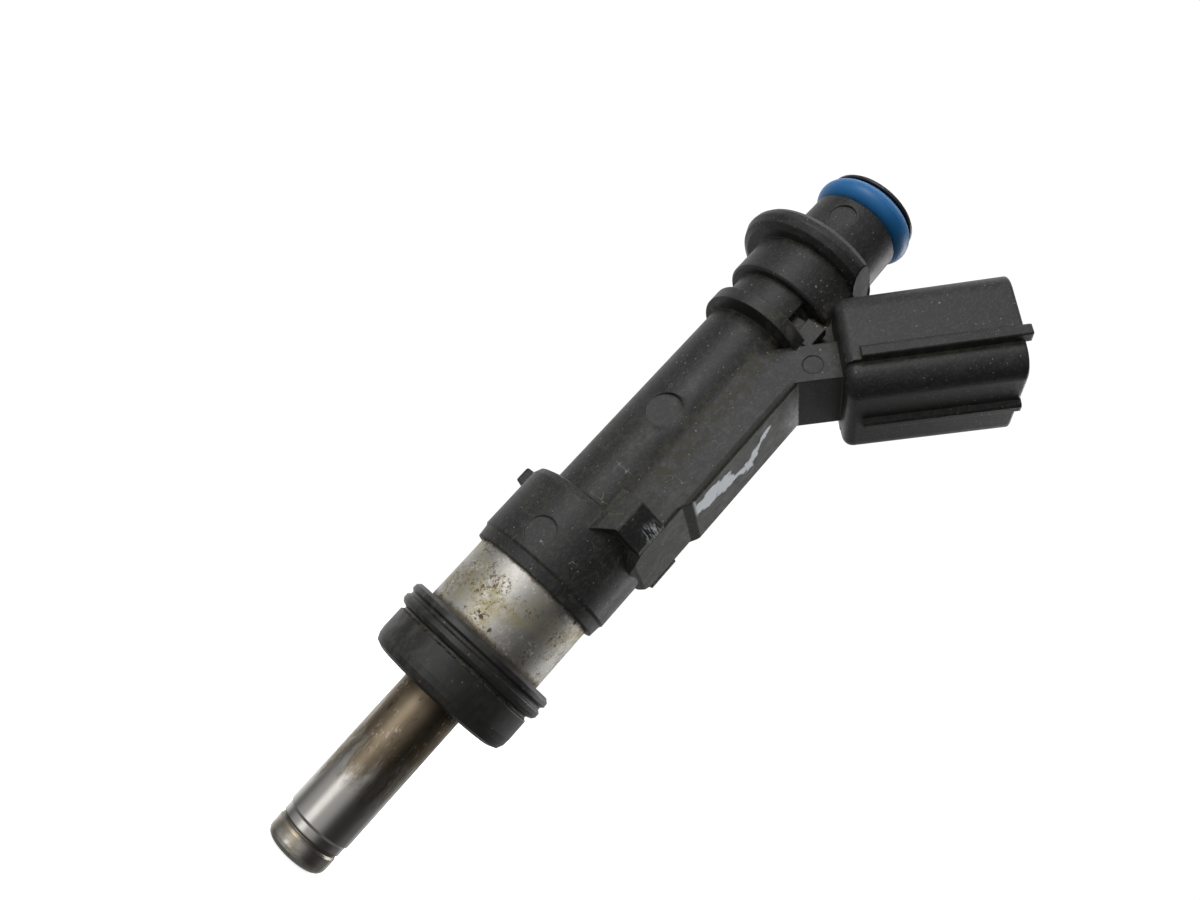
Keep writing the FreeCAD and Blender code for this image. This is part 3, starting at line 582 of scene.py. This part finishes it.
def winding():
    """Close layers of enamelled wire, seen as fine turns round the bobbin."""
    made, tree, shader = surface("enamelled_wire", Metallic=0.85)
    x, y, z = axes_mm(tree)
    radius = calc(tree, "SQRT", plus(tree, times(tree, x, x), times(tree, y, y)))
    turns = calc(tree, "SINE", times(tree, plus(tree, z, radius), 2 * math.pi / WINDING_PITCH))
    worn = noise(tree, place_mm(tree), 0.9, 4.0)
    rough = plus(tree, 0.25, times(tree, worn, 0.2))
    feed(tree, shader, Base_Color=blend(tree, worn, *COPPER), Roughness=rough,
         Normal=bump(tree, turns, 0.7, 0.05))
    return made


def plain_mould(name, tones, rough_low):
    """Plastic inside the part: grain, cloudy colour and eased edges."""
    light, dark = tones
    made, tree, shader = surface(name, IOR=1.50)
    place = place_mm(tree)
    cloud = noise(tree, place, 0.4, 4.0, 0.6)
    grain = noise(tree, place, 5.0, 4.0, 0.6)
    normal, edge = rounded(tree, 0.12)
    base = blend(tree, cloud, dark, light)
    base = coat(tree, base, light, edge, 0.35)
    base = coat(tree, base, INNER_DUST, specks(tree, place, 1.3, 0.09, 0.4, 9.0), 0.6)
    rough = plus(tree, rough_low, times(tree, cloud, 0.18))
    feed(tree, shader, Base_Color=base, Roughness=rough, Normal=bump(tree, grain, 0.3, 0.03, normal))
    return made


def make_finishes():
    """One finish for each of the record's material slots."""
    oil = ((OIL, fine_oil),)
    can_stains = ((VARNISH, can_varnish), (RUST, can_rust), (WORN_PLATING, can_flecks),
                  (DEPOSIT, can_dirt_line))
    # The nozzle's soot coat also holds painted shade just under the cushion.
    nozzle_stains_and_shade = ((OXIDE, nozzle_heat), (SOOT_AND_SHADE, nozzle_soot_and_shade), (BARE_FLECK, nozzle_flecks),
                     (STRAW, tip_tarnish))
    return {
        "black_nylon": black_nylon(),
        "blue_seal_rubber": rubber("seal_rubber", SEAL_BLUE, 0.34, 0.06, seam_z=SEAM_Z),
        "black_rubber": rubber("cushion_rubber", CUSHION_BLACK, 0.36, 0.75),
        "filter_plastic": plain_mould("rim_plastic", RIM_BLACK, 0.28),
        "bobbin_plastic": plain_mould("bobbin_nylon", BOBBIN_TAN, 0.45),
        "filter_mesh": filter_weave(),
        "copper_wire": winding(),
        "plated_can": metal("plated_can", PLATED_STEEL, 0.38, 0.20, can_stains),
        "nozzle_steel": metal("nozzle_steel", NOZZLE_STEEL, 0.12, 0.20, nozzle_stains_and_shade, stain_rough=0.12),
        "stainless_tube": metal("drawn_tube", DRAWN_STEEL, 0.22, 0.12, oil),
        "core_steel": metal("ground_core", GROUND_STEEL, 0.28, 0.14, oil),
        "spring_steel": metal("spring_wire", SPRING_STEEL, 0.24, 0.10, oil),
        "polished_steel": metal("polished_steel", POLISHED_STEEL, 0.08, 0.08, oil, lines=0.15),
        "tinned_terminal": metal("tinned_blade", TIN, 0.24, 0.14, oil),
    }


def dress_nodes():
    """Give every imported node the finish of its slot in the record."""
    finishes = make_finishes()
    for entry in frame["record"]["subparts"]:
        mesh = NODES[entry["node"]].data
        mesh.materials.clear()
        mesh.materials.append(finishes[entry["material_slot"]])


# ------------------------------------------------------------------ the spring
def spring_height(turn, low, high):
    """Height of the wire's middle after so many turns: close coils at the ends, even pitch between."""
    close = SPRING_CLOSE_PITCH
    pitch = (high - low - 2 * close * SPRING_END_TURNS) / (SPRING_TURNS - 2 * SPRING_END_TURNS)
    first = min(turn, SPRING_END_TURNS)
    last = max(turn - (SPRING_TURNS - SPRING_END_TURNS), 0)
    return low + close * (first + last) + pitch * (turn - first - last)


def spring_mesh(low, high, coil_r):
    """Round wire wound about the axis, closed at both ends."""
    rings = SPRING_TURNS * SPRING_STEPS + 1
    points = []
    for ring in range(rings):
        angle = 2 * math.pi * ring / SPRING_STEPS
        outward = Vector((math.cos(angle), math.sin(angle), 0))
        middle = outward * coil_r + Vector((0, 0, spring_height(ring / SPRING_STEPS, low, high)))
        for side in range(SPRING_SIDES):
            turn = 2 * math.pi * side / SPRING_SIDES
            points.append(middle + SPRING_WIRE_R * (outward * math.cos(turn)
                                                    + Vector((0, 0, math.sin(turn)))))
    last = rings * SPRING_SIDES
    faces = [tuple(range(SPRING_SIDES)), tuple(range(last - 1, last - SPRING_SIDES - 1, -1))]
    for ring in range(rings - 1):
        for side in range(SPRING_SIDES):
            here = ring * SPRING_SIDES + side
            beside = ring * SPRING_SIDES + (side + 1) % SPRING_SIDES
            faces.append((beside, here, here + SPRING_SIDES, beside + SPRING_SIDES))
    mesh = bpy.data.meshes.new("closing_spring")
    mesh.from_pydata(points, [], faces)
    mesh.shade_smooth()
    return mesh


def make_spring():
    """Wound wire in the CAD spring's place; the CAD spring is hidden."""
    box_low, box_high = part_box("return_spring")
    low = box_low[2] + SPRING_WIRE_R + SPRING_END_GAP
    high = box_high[2] - SPRING_WIRE_R - SPRING_END_GAP
    mesh = spring_mesh(low, high, (box_high[0] - box_low[0]) / 2 - SPRING_WIRE_R)
    mesh.materials.append(NODES["return_spring"].data.materials[0])
    spring = bpy.data.objects.new("closing_spring", mesh)
    bpy.context.scene.collection.objects.link(spring)
    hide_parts("return_spring")
    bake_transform(spring)


# ------------------------------------------------------------------ camera, floor and light
def make_camera():
    data = bpy.data.cameras.new("camera")
    data.lens = CAMERA_LENS
    data.sensor_width = CAMERA_SENSOR
    data.clip_start = 0.001
    data.clip_end = 20.0
    camera = bpy.data.objects.new("camera", data)
    bpy.context.scene.collection.objects.link(camera)
    level = Euler((math.pi / 2 + CAMERA_CLIMB, 0, CAMERA_HEADING)).to_matrix()
    turned_about_sight = level @ Matrix.Rotation(CAMERA_ROLL, 3, "Z")
    camera.rotation_mode = "QUATERNION"
    camera.rotation_quaternion = turned_about_sight.to_quaternion()
    camera.location = CAMERA_PLACE
    bpy.context.scene.camera = camera


def make_floor():
    """Pale flat floor just under the nozzle's tip, kept out of reflections and bounced light."""
    half = FLOOR_HALF
    drop = cad_low.z - FLOOR_GAP
    mesh = bpy.data.meshes.new("floor")
    corners = [(-half, -half, drop), (half, -half, drop), (half, half, drop), (-half, half, drop)]
    mesh.from_pydata(corners, [], [(0, 1, 2, 3)])
    floor = bpy.data.objects.new("floor", mesh)
    bpy.context.scene.collection.objects.link(floor)
    made, tree, shader = surface("floor_paper", Roughness=0.9, Emission_Color=(1, 1, 1, 1),
                                 Emission_Strength=0.8)
    tone = noise(tree, place_mm(tree), 0.02, 2.0)
    feed(tree, shader, Base_Color=blend(tree, tone, (0.90, 0.90, 0.90, 1), (0.94, 0.94, 0.94, 1)))
    mesh.materials.append(made)
    floor.visible_diffuse = False
    floor.visible_glossy = False


def softbox(name, place, target, side, watts):
    data = bpy.data.lights.new(name, "AREA")
    data.shape = "RECTANGLE"
    data.size = data.size_y = side
    data.energy = watts
    light = bpy.data.objects.new(name, data)
    light.location = place
    light.rotation_mode = "QUATERNION"
    light.rotation_quaternion = (target - place).to_track_quat("-Z", "Y")
    bpy.context.scene.collection.objects.link(light)


def lobe(tree, toward, aim, start, full):
    """0 to 1 as a direction comes round to aim."""
    along = add(tree, "ShaderNodeVectorMath", {0: toward, 1: Vector(aim).normalized()},
                operation="DOT_PRODUCT")
    return step(tree, along.outputs["Value"], start, full)


def make_light():
    """White surroundings for the camera, an uneven studio for the object, and three softboxes."""
    world = bpy.data.worlds.new("studio")
    bpy.context.scene.world = world
    bpy.context.scene.view_settings.view_transform = "Standard"
    world.use_nodes = True
    tree = world.node_tree
    tree.nodes.clear()
    seen = add(tree, "ShaderNodeLightPath").outputs["Is Camera Ray"]
    toward = add(tree, "ShaderNodeTexCoord").outputs["Generated"]
    shares = [times(tree, lobe(tree, toward, aim, start, full), strength)
              for aim, start, full, strength in ROOM_LOBES]
    dark_side = times(tree, lobe(tree, toward, *ROOM_DARK_SIDE), ROOM_DARKENING)
    room = times(tree, plus(tree, *shares, ROOM_EVEN), minus(tree, 1.0, dark_side))
    strength = plus(tree, times(tree, seen, BACKDROP_STRENGTH), times(tree, minus(tree, 1.0, seen), room))
    back = add(tree, "ShaderNodeBackground", {"Color": (1.0, 1.0, 1.0, 1), "Strength": strength})
    out = add(tree, "ShaderNodeOutputWorld")
    tree.links.new(back.outputs[0], out.inputs[0])
    middle = (cad_low + cad_high) / 2
    for name, place, side, watts in SOFTBOXES:
        softbox(name, middle + Vector(place), middle, side, watts)


make_camera()
make_floor()
make_light()
dress_nodes()
make_spring()
